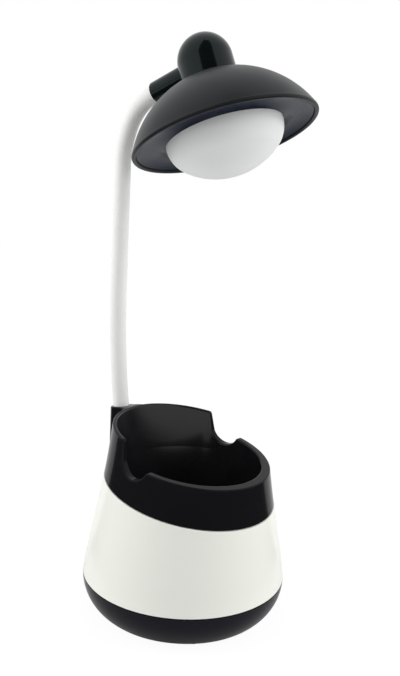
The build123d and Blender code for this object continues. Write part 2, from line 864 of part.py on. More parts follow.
def cap_screws():
    screws = []
    for side in (-1, 1):
        x = side * cap_boss_x
        screw_head = rod(cap_screw_head_radius, seat_under - cap_screw_head, seat_under, x)
        shank = rod(cap_screw_radius, seat_under, seat_rise + cap_screw_reach - slide_fit, x)
        screws.append(screw_head + shank)
    return screws


def neck_collar():
    collar = rod_back(collar_radius, collar_inset, collar_reach, 0, collar_rise)
    collar = fillet(collar.edges().sort_by(Axis.Y)[-1], collar_round)
    collar += rod_back(collar_flange_radius, collar_inset, collar_inset + collar_flange, 0, collar_rise)
    socket_start = collar_reach - sleeve_sunk - slide_fit
    collar -= rod_back(sleeve_radius + slide_fit / 2, socket_start, far, 0, collar_rise)
    collar -= rod_back(ferrule_radius + press_fit, 0, far, 0, collar_rise)
    return collar


def reflector_ring():
    mouth = diffuser_radius + slide_fit
    seat = mouth + diffuser_flange + slide_fit
    edge = (ring_edge - slide_fit, ring_edge_rise)
    edge_top = (ring_edge_top - slide_fit, ring_edge_rise + ring_wall)
    under_middle = ((edge[0] + mouth) / 2, (ring_edge_rise + ring_mouth_rise) / 2 + ring_hollow)
    over_middle = (under_middle[0], under_middle[1] + ring_wall)
    outside = seat + ring_wall
    ring = turned(
        ThreePointArc(edge, under_middle, (mouth, ring_mouth_rise)),
        Line((mouth, ring_mouth_rise), (mouth, ring_mouth_rise + ring_wall)),
        ThreePointArc((mouth, ring_mouth_rise + ring_wall), over_middle, edge_top),
        Line(edge_top, edge),
    )
    stand = turned(
        Polyline(
            (mouth, ring_mouth_rise + ring_wall / 2),
            (outside, ring_mouth_rise + ring_wall),
            (outside, ring_top_rise),
            (seat, ring_top_rise),
            (seat, ring_ledge_rise),
            (mouth, ring_ledge_rise),
            (mouth, ring_mouth_rise + ring_wall / 2),
        )
    )
    return ring + stand - rod(seat, ring_ledge_rise, far)


def diffuser():
    crown = (0, ring_mouth_rise - diffuser_depth + diffuser_crown)
    shoulder = (diffuser_side, ring_mouth_rise)
    away = Vector(*shoulder) - Vector(*crown)
    flange = diffuser_radius + diffuser_flange
    top = ring_ledge_rise + diffuser_flange_height
    inner = diffuser_radius - diffuser_wall
    outer_bottom = (0, crown[1] - diffuser_crown)
    inner_bottom = (0, outer_bottom[1] + diffuser_wall)
    # the crown and the shoulder share a tangent on the line through their centres
    outer_meet = tuple(Vector(*crown) + away.normalized() * diffuser_crown)[:2]
    inner_meet = tuple(Vector(*crown) + away.normalized() * (diffuser_crown - diffuser_wall))[:2]
    return turned(
        arc_about(crown, outer_bottom, outer_meet),
        arc_about(shoulder, outer_meet, (diffuser_radius, ring_mouth_rise)),
        Polyline(
            (diffuser_radius, ring_mouth_rise),
            (diffuser_radius, ring_ledge_rise),
            (flange, ring_ledge_rise),
            (flange, top),
            (inner, top),
            (inner, ring_mouth_rise),
        ),
        arc_about(shoulder, (inner, ring_mouth_rise), inner_meet),
        arc_about(crown, inner_meet, inner_bottom),
        Line(inner_bottom, outer_bottom),
    )


def led_board():
    board = rod(led_board_radius, ring_top_rise, led_board_top)
    for place in around(led_boss_count, led_boss_circle):
        board -= place * rod(led_screw_radius + slide_fit, 0, far)
    return board


def led_chips():
    chip = Pos(0, 0, ring_top_rise) * Box(
        chip_length, chip_width, chip_height, align=(Align.CENTER, Align.CENTER, Align.MAX)
    )
    chip = chamfer(chip.edges().group_by(Axis.Z)[0], chip_chamfer)
    inner_ring = around(inner_chip_count, inner_chip_circle)
    outer_ring = around(outer_chip_count, outer_chip_circle, 180.0 / outer_chip_count)
    return [place * chip for ring in (inner_ring, outer_ring) for place in ring]


def head_screws():
    screw_head = rod(led_screw_head_radius, ring_top_rise - led_screw_head, ring_top_rise)
    screw = screw_head + rod(led_screw_radius, ring_top_rise, led_board_top + led_screw_reach)
    return [place * screw for place in around(led_boss_count, led_boss_circle)]


def tilted(shape):
    """A piece of the head, or a group of them, tilted into place on the neck."""
    return [head * solid for solid in shape] if isinstance(shape, list) else head * shape


# Every piece, by its name
pieces = {
    "base_tray": base_tray(),
    "rubber_feet": rubber_feet(),
    "tray_screws": tray_screws(),
    "counterweight": counterweight(),
    "battery_holder": battery_holder(),
    "battery_cell": battery_cell(),
    "battery_leads": battery_leads(),
    "outer_shell": outer_shell(),
    "control_board": control_board(),
    "board_screws": board_screws(),
    "charge_socket": charge_socket(),
    "switch_body": switch_body(),
    "switch_button": switch_button(),
    "pen_cup": pen_cup(),
    "neck_ferrule_lower": neck_tube(
        ferrule_radius,
        -sleeve_sunk - slide_fit - ferrule_length,
        -sleeve_sunk - slide_fit,
        core_radius + press_fit,
    ),
    "neck_sleeve": neck_tube(sleeve_radius, -sleeve_sunk, neck_length + sleeve_sunk, sleeve_bore),
    "led_lead": led_lead(),
    "neck_ferrule_upper": neck_tube(
        ferrule_radius,
        neck_length + sleeve_sunk + slide_fit,
        neck_length + sleeve_sunk + slide_fit + ferrule_length,
        core_radius + press_fit,
    ),
    "neck_collar": tilted(neck_collar()),
    "head_cap": tilted(head_cap()),
    "cap_screws": tilted(cap_screws()),
    "shade": tilted(shade()),
    "reflector_ring": tilted(reflector_ring()),
    "diffuser": tilted(diffuser()),
    "led_board": tilted(led_board()),
    "led_chips": tilted(led_chips()),
    "head_screws": tilted(head_screws()),
}
core_names = ["neck_core_root"] + ["neck_core_%d" % n for n in range(1, bend_count)] + ["neck_core_tip"]
pieces.update(zip(core_names, core_lengths()))


def solids_of(shape):
    """Each solid of a piece, or of a group of like pieces."""
    group = shape if isinstance(shape, list) else [shape]
    return [Solid(solid.wrapped) for piece in group for solid in piece.solids()]


os.makedirs("parts", exist_ok=True)
for name, shape in pieces.items():
    export_step(Compound(children=solids_of(shape)), os.path.join("parts", name + ".step"))
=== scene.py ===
import json
from math import ceil, cos, pi, radians, sin, sqrt
import bmesh
import bpy
from mathutils import Matrix, Vector

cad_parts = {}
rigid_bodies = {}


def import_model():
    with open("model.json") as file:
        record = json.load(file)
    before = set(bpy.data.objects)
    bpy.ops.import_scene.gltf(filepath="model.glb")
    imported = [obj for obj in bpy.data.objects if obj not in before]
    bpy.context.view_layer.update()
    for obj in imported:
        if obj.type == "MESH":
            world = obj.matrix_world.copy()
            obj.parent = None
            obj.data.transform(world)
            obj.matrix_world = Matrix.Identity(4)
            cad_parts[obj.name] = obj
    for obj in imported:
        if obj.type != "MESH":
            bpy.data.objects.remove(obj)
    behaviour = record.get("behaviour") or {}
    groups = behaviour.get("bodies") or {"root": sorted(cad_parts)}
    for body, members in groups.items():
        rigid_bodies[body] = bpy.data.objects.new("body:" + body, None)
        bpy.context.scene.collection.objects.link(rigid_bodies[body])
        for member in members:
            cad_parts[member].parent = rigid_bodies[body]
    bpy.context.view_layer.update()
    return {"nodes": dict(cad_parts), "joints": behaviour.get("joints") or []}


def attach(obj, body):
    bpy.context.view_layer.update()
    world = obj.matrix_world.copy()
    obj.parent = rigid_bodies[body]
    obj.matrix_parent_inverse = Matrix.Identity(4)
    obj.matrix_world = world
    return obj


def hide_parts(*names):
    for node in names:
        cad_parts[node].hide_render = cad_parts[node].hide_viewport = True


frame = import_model()


# Base tray: the black bowl that the lamp stands on, moulded in glossy ABS with a rounded wall.
# Three screws go up through its floor, and its lip centres the white shell.
def moulded_surface():
    """Masks of a moulded surface: slow tint, sink marks, the ripple of the mould and a few hairline rubs."""
    group = bpy.data.node_groups.new("moulded_surface", "ShaderNodeTree")
    group.interface.new_socket("Ripple Scale", in_out="INPUT", socket_type="NodeSocketFloat")
    for name in ("Tint", "Sink", "Ripple", "Rubs"):
        group.interface.new_socket(name, in_out="OUTPUT", socket_type="NodeSocketFloat")
    nodes, links = group.nodes, group.links
    given = nodes.new("NodeGroupInput")
    result = nodes.new("NodeGroupOutput")
    place = nodes.new("ShaderNodeTexCoord")

    def noise(scale, detail):
        texture = nodes.new("ShaderNodeTexNoise")
        texture.inputs["Scale"].default_value = scale
        texture.inputs["Detail"].default_value = detail
        links.new(place.outputs["Object"], texture.inputs["Vector"])
        return texture

    links.new(noise(scale=14.0, detail=0.0).outputs["Fac"], result.inputs["Tint"])
    links.new(noise(scale=45.0, detail=2.0).outputs["Fac"], result.inputs["Sink"])
    ripple = noise(scale=700.0, detail=2.0)
    links.new(given.outputs["Ripple Scale"], ripple.inputs["Scale"])
    links.new(ripple.outputs["Fac"], result.inputs["Ripple"])
    # hairlines are a noise drawn out long in one direction and cut to its peaks
    drawn = nodes.new("ShaderNodeMapping")
    drawn.inputs["Rotation"].default_value = (0.4, 0.7, 0.9)
    drawn.inputs["Scale"].default_value = (1800.0, 1800.0, 45.0)
    links.new(place.outputs["Object"], drawn.inputs["Vector"])
    hair = noise(scale=1.0, detail=1.0)
    links.new(drawn.outputs["Vector"], hair.inputs["Vector"])
    peaks = nodes.new("ShaderNodeMapRange")
    peaks.inputs["From Min"].default_value = 0.74
    peaks.inputs["From Max"].default_value = 0.84
    links.new(hair.outputs["Fac"], peaks.inputs["Value"])
    links.new(peaks.outputs["Result"], result.inputs["Rubs"])
    return group


def new_material(name):
    """Material with its nodes, links and shader at hand."""
    material = bpy.data.materials.new(name)
    material.use_nodes = True
    tree = material.node_tree
    return material, tree.nodes, tree.links, tree.nodes["Principled BSDF"]


def tinted(nodes, links, mask, deep, pale):
    """Colours the shader between two near colours by a mask."""
    tint = nodes.new("ShaderNodeMix")
    tint.data_type = "RGBA"
    tint.inputs["A"].default_value = (*deep, 1.0)
    tint.inputs["B"].default_value = (*pale, 1.0)
    links.new(mask, tint.inputs["Factor"])
    links.new(tint.outputs["Result"], nodes["Principled BSDF"].inputs["Base Color"])


def raised(nodes, links, mask, strength, depth):
    """Raises the shader's surface by a mask."""
    bump = nodes.new("ShaderNodeBump")
    bump.inputs["Strength"].default_value = strength
    bump.inputs["Distance"].default_value = depth
    links.new(mask, bump.inputs["Height"])
    links.new(bump.outputs["Normal"], nodes["Principled BSDF"].inputs["Normal"])


def moulded_plastic(
    name,
    deep,
    pale,
    rough,
    specular=0.5,
    ripple_scale=700.0,
    ripple_depth=0.00003,
    rubbed=0.05,
    shine=(1.0, 1.0, 1.0),
):
    """Moulded plastic between two near colours, with a range of roughness and the ripple of its mould."""
    material, nodes, links, shader = new_material(name)
    shader.inputs["Specular IOR Level"].default_value = specular
    shader.inputs["Specular Tint"].default_value = (*shine, 1.0)
    surface = nodes.new("ShaderNodeGroup")
    surface.node_tree = bpy.data.node_groups.get("moulded_surface") or moulded_surface()
    surface.inputs["Ripple Scale"].default_value = ripple_scale
    tinted(nodes, links, surface.outputs["Tint"], deep, pale)
    gloss = nodes.new("ShaderNodeMapRange")
    gloss.inputs["From Min"].default_value = 0.3
    gloss.inputs["From Max"].default_value = 0.7
    gloss.inputs["To Min"].default_value = rough[0]
    gloss.inputs["To Max"].default_value = rough[1]
    links.new(surface.outputs["Sink"], gloss.inputs["Value"])
    dulled = nodes.new("ShaderNodeMath")
    dulled.operation = "MULTIPLY_ADD"
    dulled.inputs[1].default_value = rubbed
    links.new(surface.outputs["Rubs"], dulled.inputs[0])
    links.new(gloss.outputs["Result"], dulled.inputs[2])
    links.new(dulled.outputs["Value"], shader.inputs["Roughness"])
    raised(nodes, links, surface.outputs["Ripple"], 0.5, ripple_depth)
    return material


def paint(material, *names):
    """Gives CAD nodes a material."""
    for name in names:
        mesh = frame["nodes"][name].data
        mesh.materials.clear()
        mesh.materials.append(material)


tray_black = moulded_plastic(
    "tray_black",
    (0.0020, 0.0020, 0.0036),
    (0.0025, 0.0025, 0.0046),
    rough=(0.16, 0.24),
    specular=0.18,
    shine=(0.80, 0.80, 1.0),
)
paint(tray_black, "base_tray")


# Rubber feet: four black pads, punched from sheet and pressed into shallow recesses under the tray.
# They are the only pieces that touch the desk.
foot_rubber = moulded_plastic(
    "foot_rubber",
    (0.012, 0.012, 0.012),
    (0.022, 0.022, 0.022),
    rough=(0.75, 0.9),
    specular=0.3,
    ripple_scale=1500.0,
    ripple_depth=0.00008,
)
paint(foot_rubber, "rubber_feet")


# Counterweight: a turned steel plate that lies on the tray's floor and keeps the lamp from tipping.
# Its three holes drop over the posts of the tray.
def bare_metal(name, deep, pale, rough, grain=(300.0, 300.0, 300.0), grain_depth=0.00002):
    """Bare metal between two near colours, with grain drawn out by its scale along each axis."""
    material, nodes, links, shader = new_material(name)
    shader.inputs["Metallic"].default_value = 1.0
    place = nodes.new("ShaderNodeTexCoord")
    drawn = nodes.new("ShaderNodeMapping")
    drawn.inputs["Scale"].default_value = grain
    lines = nodes.new("ShaderNodeTexNoise")
    lines.inputs["Scale"].default_value = 1.0
    lines.inputs["Detail"].default_value = 3.0
    links.new(place.outputs["Object"], drawn.inputs["Vector"])
    links.new(drawn.outputs["Vector"], lines.inputs["Vector"])
    tinted(nodes, links, lines.outputs["Fac"], deep, pale)
    gloss = nodes.new("ShaderNodeMapRange")
    gloss.inputs["To Min"].default_value = rough[0]
    gloss.inputs["To Max"].default_value = rough[1]
    links.new(lines.outputs["Fac"], gloss.inputs["Value"])
    links.new(gloss.outputs["Result"], shader.inputs["Roughness"])
    raised(nodes, links, lines.outputs["Fac"], 0.4, grain_depth)
    return material


turned_steel = bare_metal(
    "turned_steel", (0.34, 0.34, 0.35), (0.46, 0.46, 0.47), rough=(0.3, 0.5), grain=(30.0, 900.0, 30.0)
)
paint(turned_steel, "counterweight")


# Cell and holder: a round rechargeable cell in a blue film, clipped into a black cradle on the weight.
# Two jacketed wires run from its ends to the control board.
holder_black = moulded_plastic(
    "holder_black", (0.018, 0.018, 0.018), (0.026, 0.026, 0.027), rough=(0.5, 0.65)
)
cell_film = moulded_plastic("cell_film", (0.03, 0.11, 0.32), (0.04, 0.14, 0.38), rough=(0.25, 0.35))
wire_jacket = moulded_plastic("wire_jacket", (0.42, 0.42, 0.41), (0.50, 0.50, 0.49), rough=(0.4, 0.55))
paint(holder_black, "battery_holder")
paint(cell_film, "battery_cell")
paint(wire_jacket, "battery_leads")


# Outer shell: the white bell, one moulding in glossy ABS.
# The tray and the pen cup clamp it, and its back has the button's hole and the inlet's window.
shell_white = moulded_plastic(
    "shell_white",
    (0.818, 0.828, 0.766),
    (0.830, 0.840, 0.778),
    rough=(0.22, 0.26),
    ripple_scale=500.0,
    ripple_depth=0.00002,
    rubbed=0.0,
)
paint(shell_white, "outer_shell")


# Control board: a green glass-fibre board with bright copper tracks under its lacquer.
# Two small screws hold it to bosses inside the shell, with the push switch and the inlet on it.
def lacquered_board(name, lacquer, track, pitch):
    """Lacquered circuit board with a net of tracks that show through as a paler colour."""
    material, nodes, links, shader = new_material(name)
    shader.inputs["Roughness"].default_value = 0.3
    place = nodes.new("ShaderNodeTexCoord")
    turn = nodes.new("ShaderNodeMapping")
    turn.inputs["Rotation"].default_value = (pi / 2, 0.0, 0.0)
    net = nodes.new("ShaderNodeTexBrick")
    net.inputs["Scale"].default_value = pitch
    net.inputs["Mortar Size"].default_value = 0.03
    net.inputs["Color1"].default_value = (*lacquer, 1.0)
    net.inputs["Color2"].default_value = tuple(0.85 * share for share in lacquer) + (1.0,)
    net.inputs["Mortar"].default_value = (*track, 1.0)
    links.new(place.outputs["Object"], turn.inputs["Vector"])
    links.new(turn.outputs["Vector"], net.inputs["Vector"])
    links.new(net.outputs["Color"], shader.inputs["Base Color"])
    raised(nodes, links, net.outputs["Fac"], 0.4, 0.00004)
    return material


board_green = lacquered_board("board_green", (0.012, 0.10, 0.035), (0.05, 0.22, 0.08), pitch=220.0)
plated_steel = bare_metal("plated_steel", (0.52, 0.52, 0.53), (0.64, 0.64, 0.65), rough=(0.22, 0.34))
paint(board_green, "control_board")
paint(plated_steel, "board_screws", "charge_socket")
paint(holder_black, "switch_body")


# Switch button: a round black cap with a dished face, moulded with a flange that keeps it in the shell.
# It stands out of the back of the bell and presses the switch on the board.
button_black = moulded_plastic("button_black", (0.008, 0.008, 0.009), (0.012, 0.012, 0.013), rough=(0.3, 0.4))
paint(button_black, "switch_button")


# Pen cup: one black moulding with a double wall, a slanted rim, two round notches and the boss of the neck.
# It drops into the shell, and the tray screws pull its three legs down.
bore_lean = 0.15
bore_polish = 0.7
bore_rough = 0.15
cup_black = moulded_plastic(
    "cup_black",
    (0.0068, 0.0068, 0.0078),
    (0.0076, 0.0076, 0.0088),
    rough=(0.12, 0.18),
    specular=0.075,
    shine=(0.88, 0.92, 1.0),
)


def drafted_bore(material):
    """Leans the shading of faces that look at the cup's axis, as a mould's draft does, and polishes them."""
    nodes, links = material.node_tree.nodes, material.node_tree.links

    def vector_math(operation):
        step = nodes.new("ShaderNodeVectorMath")
        step.operation = operation
        return step

    place = nodes.new("ShaderNodeTexCoord")
    geometry = nodes.new("ShaderNodeNewGeometry")
    outward = vector_math("MULTIPLY")
    outward.inputs[1].default_value = (1.0, 1.0, 0.0)
    radial = vector_math("NORMALIZE")
    facing = vector_math("DOT_PRODUCT")
    inside = nodes.new("ShaderNodeMapRange")
    inside.inputs["From Min"].default_value = -0.7
    inside.inputs["From Max"].default_value = -0.95
    lean = vector_math("SCALE")
    lean.inputs[0].default_value = (0.0, 0.0, bore_lean)
    leaned = vector_math("ADD")
    polished = nodes.new("ShaderNodeMath")
    polished.operation = "MULTIPLY"
    polished.inputs[1].default_value = bore_polish
    links.new(place.outputs["Object"], outward.inputs[0])
    links.new(outward.outputs["Vector"], radial.inputs[0])
    links.new(radial.outputs["Vector"], facing.inputs[0])
    links.new(geometry.outputs["Normal"], facing.inputs[1])
    links.new(facing.outputs["Value"], inside.inputs["Value"])
    links.new(inside.outputs["Result"], lean.inputs["Scale"])
    links.new(inside.outputs["Result"], polished.inputs[0])
    links.new(geometry.outputs["Normal"], leaned.inputs[0])
    links.new(lean.outputs["Vector"], leaned.inputs[1])
    links.new(leaned.outputs["Vector"], nodes["Bump"].inputs["Normal"])
    shader = nodes["Principled BSDF"]
    shader.inputs["Coat Roughness"].default_value = bore_rough
    links.new(polished.outputs["Value"], shader.inputs["Coat Weight"])
    links.new(leaned.outputs["Vector"], shader.inputs["Coat Normal"])


drafted_bore(cup_black)
paint(cup_black, "pen_cup")


# Tray screws: three plated steel screws that go up through the tray's posts into the legs of the cup.
# Their heads lie sunk in round wells under the tray, each with a punched cross.
screw_circle = 0.0322176
front_screw_y = -0.0155
front_screw_x = sqrt(screw_circle**2 - front_screw_y**2)
screw_places = ((0.0, screw_circle), (front_screw_x, front_screw_y), (-front_screw_x, front_screw_y))
screw_bottom = 0.0020
screw_top = 0.0225
screw_shank = 0.00145
screw_sides = 48
screw_head_radius = 0.0028
screw_head_height = 0.0016
screw_head_round = 0.0008
round_steps = 6
cross_reach = 0.00145
cross_half = 0.00032
cross_depth = 0.0009
cross_taper = 0.72
sharp_turn = radians(35.0)


def grown_edges(bm, edges):
    """Extrudes edges, and gives the new vertices and the edges between them."""
    grown = bmesh.ops.extrude_edge_only(bm, edges=edges)["geom"]
    fresh = {item for item in grown if isinstance(item, bmesh.types.BMVert)}
    edges = [item for item in grown if isinstance(item, bmesh.types.BMEdge)]
    return fresh, [edge for edge in edges if fresh.issuperset(edge.verts)]


def new_object(name, bm, material):
    """Object with the mesh that a bmesh holds."""
    mesh = bpy.data.meshes.new(name)
    bm.to_mesh(mesh)
    bm.free()
    mesh.materials.append(material)
    thing = bpy.data.objects.new(name, mesh)
    bpy.context.scene.collection.objects.link(thing)
    return thing


def fitted_piece(name, bm, material, body, node):
    """Smooth piece that rides on a body in the place of a CAD node."""
    for face in bm.faces:
        face.smooth = True
    piece = new_object(name, bm, material)
    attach(piece, body)
    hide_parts(node)
    return piece


def crossed_screw(name, x, y):
    """Screw turned from its outline, with a tapered cross sunk into the underside of its head."""
    outline = []
    for step in range(round_steps + 1):
        turn = step / round_steps * pi / 2
        radius = screw_head_radius - screw_head_round * (1.0 - sin(turn))
        outline.append((radius, screw_bottom + screw_head_round * (1.0 - cos(turn))))
    head_top = screw_bottom + screw_head_height
    outline += [(screw_head_radius, head_top), (screw_shank, head_top)]
    outline += [(screw_shank, screw_top), (0.0, screw_top)]
    bm = bmesh.new()
    verts = [bm.verts.new((radius, 0.0, height)) for radius, height in outline]
    edges = [bm.edges.new(pair) for pair in zip(verts, verts[1:])]
    bmesh.ops.spin(
        bm,
        geom=verts + edges,
        cent=(0, 0, 0),
        axis=(0, 0, 1),
        angle=2 * pi,
        steps=screw_sides,
        use_merge=True,
    )
    bmesh.ops.remove_doubles(bm, verts=bm.verts, dist=1e-7)
    rim = [edge for edge in bm.edges if edge.is_boundary]
    corners = []
    arm = [(cross_reach, -cross_half), (cross_reach, cross_half), (cross_half, cross_half)]
    for quarter in range(4):
        corners += [bm.verts.new((a, b, screw_bottom)) for a, b in arm]
        arm = [(-b, a) for a, b in arm]
    cross = [bm.edges.new(pair) for pair in zip(corners, corners[1:] + corners[:1])]
    bmesh.ops.triangle_fill(bm, use_beauty=True, edges=rim + cross)
    deep, floor_edges = grown_edges(bm, cross)
    for vert in deep:
        vert.co = (vert.co.x * cross_taper, vert.co.y * cross_taper, screw_bottom + cross_depth)
    bmesh.ops.contextual_create(bm, geom=floor_edges)
    bmesh.ops.translate(bm, verts=bm.verts, vec=(x, y, 0.0))
    bmesh.ops.recalc_face_normals(bm, faces=bm.faces)
    for edge in bm.edges:
        edge.smooth = edge.calc_face_angle(pi) < sharp_turn
    fitted_piece(name, bm, plated_steel, "base", "tray_screws")


for number, (x, y) in enumerate(screw_places, 1):
    crossed_screw("tray_screw_%d" % number, x, y)


# Gooseneck core: a hose wound from steel wire, in ten lengths with a bend between each two.
# A crimped ferrule at each end is pressed into the boss and the collar.
wound_steel = bare_metal(
    "wound_steel",
    (0.42, 0.42, 0.43),
    (0.55, 0.55, 0.56),
    rough=(0.3, 0.45),
    grain=(30.0, 30.0, 1500.0),
    grain_depth=0.0002,
)
core_names = sorted(name for name in frame["nodes"] if name.startswith("neck_core"))
paint(wound_steel, *core_names)
paint(plated_steel, "neck_ferrule_lower", "neck_ferrule_upper")


# Neck sleeve: a white silicone tube drawn over the core, sunk into the boss below and the collar above.
# It is made in ten lengths, each fast on its own stretch of the core, that turn on rounded ends.
sleeve_radius = 0.00475
sleeve_wall = 0.0008
sleeve_sunk = 0.004
sleeve_sides = 48
boss_y = 0.051717
boss_top = 0.108105
neck_foot = Vector((0.0, boss_y, boss_top))
neck_lean = radians(8.2)
# each stretch is an arc of a turn and a radius, or a straight one with no turn and its length
neck_spans = (
    (neck_lean, 0.493),
    (0.0, 0.0706),
    (radians(25.0), 0.054),
    (radians(43.7), 0.032),
)
first_bend = 0.0120
last_bend_gap = 0.0116
ring_step = 0.0006
ball_steps = 5
ball_step_turn = radians(3.0)
hair_breadth = 1e-9


def span_length(turn, size):
    """Length of a stretch of the neck."""
    return turn * size if turn else size


def heading(lean):
    """Direction up the neck where it leans back by an angle."""
    return Vector((0.0, sin(lean), cos(lean)))


neck_length = sum(span_length(*span) for span in neck_spans)


def neck_at(distance):
    """Place and lean of the neck's centre line, a distance up from the top of the boss."""
    place, lean, left = neck_foot.copy(), neck_lean, distance
    for turn, size in neck_spans:
        step = min(left, span_length(turn, size))
        if turn and step > 0:
            next_lean = lean - step / size
            place += size * Vector((0.0, cos(next_lean) - cos(lean), sin(lean) - sin(next_lean)))
            lean = next_lean
        else:
            place += step * heading(lean)
        left -= step
        if left <= 0:
            break
    return place + left * heading(lean), lean


def ball_end(bm, distance, outward, radius):
    """Rolls an open end of a tube in over a ball about a bend, so that the next length turns on it."""
    place, lean = neck_at(distance)
    along = outward * heading(lean)
    open_edges = [edge for edge in bm.edges if edge.is_boundary]
    rim = [edge for edge in open_edges if (edge.verts[0].co - place).length < 1.01 * radius]
    for step in range(1, ball_steps + 1):
        turn = step * ball_step_turn
        fresh, rim = grown_edges(bm, rim)
        for vert in fresh:
            side = vert.co - place
            side = (side - side.dot(along) * along).normalized()
            vert.co = place + radius * (sin(turn) * along + cos(turn) * side)


def neck_run(radius, start, end, sides, ball_below, ball_above):
    """Tube along the neck: a circle that is spun round each bend and drawn straight between them."""
    place, lean = neck_at(start)
    bm = bmesh.new()
    standing = Matrix.Translation(place) @ Matrix.Rotation(-lean, 4, "X")
    bmesh.ops.create_circle(bm, segments=sides, radius=radius, matrix=standing)
    ring = bm.verts[:] + bm.edges[:]
    marks = [sum(span_length(*span) for span in neck_spans[:n]) for n in range(len(neck_spans) + 1)]
    marks[0], marks[-1] = min(start, 0.0), max(end, neck_length)
    for (turn, size), low, high in zip(neck_spans, marks, marks[1:]):
        low, high = max(low, start), min(high, end)
        # the ends that are sunk in the boss and the collar run on straight
        stops = [low] + [stop for stop in (0.0, neck_length) if low < stop < high] + [high]
        for bottom, top in zip(stops, stops[1:]):
            if top - bottom < hair_breadth:
                continue
            steps = ceil((top - bottom) / ring_step)
            place, lean = neck_at(bottom)
            bent = turn and bottom >= 0.0 and top <= neck_length + hair_breadth
            swept = bmesh.ops.spin(
                bm,
                geom=ring,
                cent=place + size * Vector((0.0, -cos(lean), sin(lean))) if bent else place,
                axis=(1.0, 0.0, 0.0),
                dvec=(0, 0, 0) if bent else heading(lean) * ((top - bottom) / steps),
                angle=(top - bottom) / size if bent else 0.0,
                steps=steps,
            )
            ring = swept["geom_last"]
    if ball_below:
        ball_end(bm, start, -1.0, radius)
    if ball_above:
        ball_end(bm, end, 1.0, radius)
    bmesh.ops.recalc_face_normals(bm, faces=bm.faces)
    for edge in bm.edges:
        edge.smooth = not edge.is_boundary
    return bm


# the bends in their order up the neck, each found by the length that it bends from
bend_from = {joint["parent"]: joint for joint in frame["joints"] if joint["name"].startswith("neck_")}
bend_joints = [bend_from["base"]]
while bend_joints[-1]["child"] in bend_from:
    bend_joints.append(bend_from[bend_joints[-1]["child"]])
bend_step = (neck_length - first_bend - last_bend_gap) / (len(bend_joints) - 1)
bends = [first_bend + bend_step * n for n in range(len(bend_joints))]
neck_bodies = ["base"] + [joint["child"] for joint in bend_joints]


def neck_lengths(node, radius, foot, tip, sides, material):
    """Soft tube of the neck in ten lengths, each fast on its body and rounded where it turns on the next."""
    cuts = [foot] + bends + [tip]
    pieces = []
    for n, body in enumerate(neck_bodies):
        bm = neck_run(radius, cuts[n], cuts[n + 1], sides, ball_below=n > 0, ball_above=n < len(bends))
        pieces.append(fitted_piece("%s_%d" % (node, n + 1), bm, material, body, node))
    return pieces


silicone_white = moulded_plastic(
    "silicone_white",
    (0.775, 0.780, 0.755),
    (0.795, 0.800, 0.775),
    rough=(0.42, 0.50),
    specular=0.4,
    ripple_scale=900.0,
)
sleeves = neck_lengths(
    "neck_sleeve",
    sleeve_radius,
    -sleeve_sunk,
    neck_length + sleeve_sunk,
    sleeve_sides,
    silicone_white,
)
for piece in sleeves:
    wall = piece.modifiers.new("wall", "SOLIDIFY")
    wall.thickness = sleeve_wall
    wall.offset = -1.0


# Light lead: a jacketed two-core lead from the control board up through the core to the light board.
# It bends with the neck, and its two ends lie still in the base and in the head.
lead_radius = 0.00125
lead_sides = 20
lead_low = -0.010
lead_high = neck_length - 0.001


def lead_end(name, cut_at, keep_above, body):
    """One end of the lead, as its own solid drawn and cut square where the lengths in the neck take over."""
    place, lean = neck_at(cut_at)
    bm = bmesh.new()
    bm.from_mesh(frame["nodes"]["led_lead"].data)
    bmesh.ops.remove_doubles(bm, verts=bm.verts, dist=1e-6)
    bmesh.ops.bisect_plane(
        bm,
        geom=bm.verts[:] + bm.edges[:] + bm.faces[:],
        plane_co=place,
        plane_no=heading(lean),
        clear_inner=keep_above,
        clear_outer=not keep_above,
    )
    fitted_piece(name, bm, wire_jacket, body, "led_lead")


neck_lengths("led_lead", lead_radius, lead_low, lead_high, lead_sides, wire_jacket)
lead_end("led_lead_base", lead_low, False, "base")
lead_end("led_lead_head", lead_high, True, "head")


# Neck collar and head cap: a black tube that takes the end of the neck, and the domed cap it is held in.
# Both are glossy mouldings, and two screws come up through the shade into bosses inside the cap.
head_black = moulded_plastic(
    "head_black",
    (0.0034, 0.0054, 0.0056),
    (0.0042, 0.0064, 0.0066),
    rough=(0.10, 0.16),
    specular=0.26,
    shine=(0.82, 0.98, 1.0),
)
paint(head_black, "head_cap", "neck_collar")
paint(plated_steel, "cap_screws")


# Shade: a black dish with a beaded rim, moulded in satin ABS.
# The light board, its ring and the diffuser hang inside it.
shade_black = moulded_plastic(
    "shade_black",
    (0.006, 0.0070, 0.0074),
    (0.008, 0.0090, 0.0094),
    rough=(0.36, 0.44),
    specular=0.27,
    shine=(0.86, 0.94, 1.0),
)
paint(shade_black, "shade")


# Light board: a round aluminium board in white lacquer with eighteen chips in two rings.
# Three screws hold it to bosses under the shade.
board_white = moulded_plastic("board_white", (0.70, 0.70, 0.69), (0.78, 0.78, 0.77), rough=(0.3, 0.4))
phosphor = moulded_plastic(
    "phosphor", (0.72, 0.56, 0.12), (0.80, 0.66, 0.20), rough=(0.35, 0.5), ripple_scale=3000.0
)
paint(board_white, "led_board")
paint(phosphor, "led_chips")
paint(plated_steel, "head_screws")


# Reflector ring: the dark hollow ring between the shade's bead and the diffuser.
# It is one glossy moulding, and its stand clamps the diffuser's flange under the light board.
ring_black = moulded_plastic(
    "ring_black",
    (0.006, 0.009, 0.018),
    (0.008, 0.011, 0.022),
    rough=(0.24, 0.32),
    specular=0.22,
    shine=(0.62, 0.76, 1.0),
)
paint(ring_black, "reflector_ring")


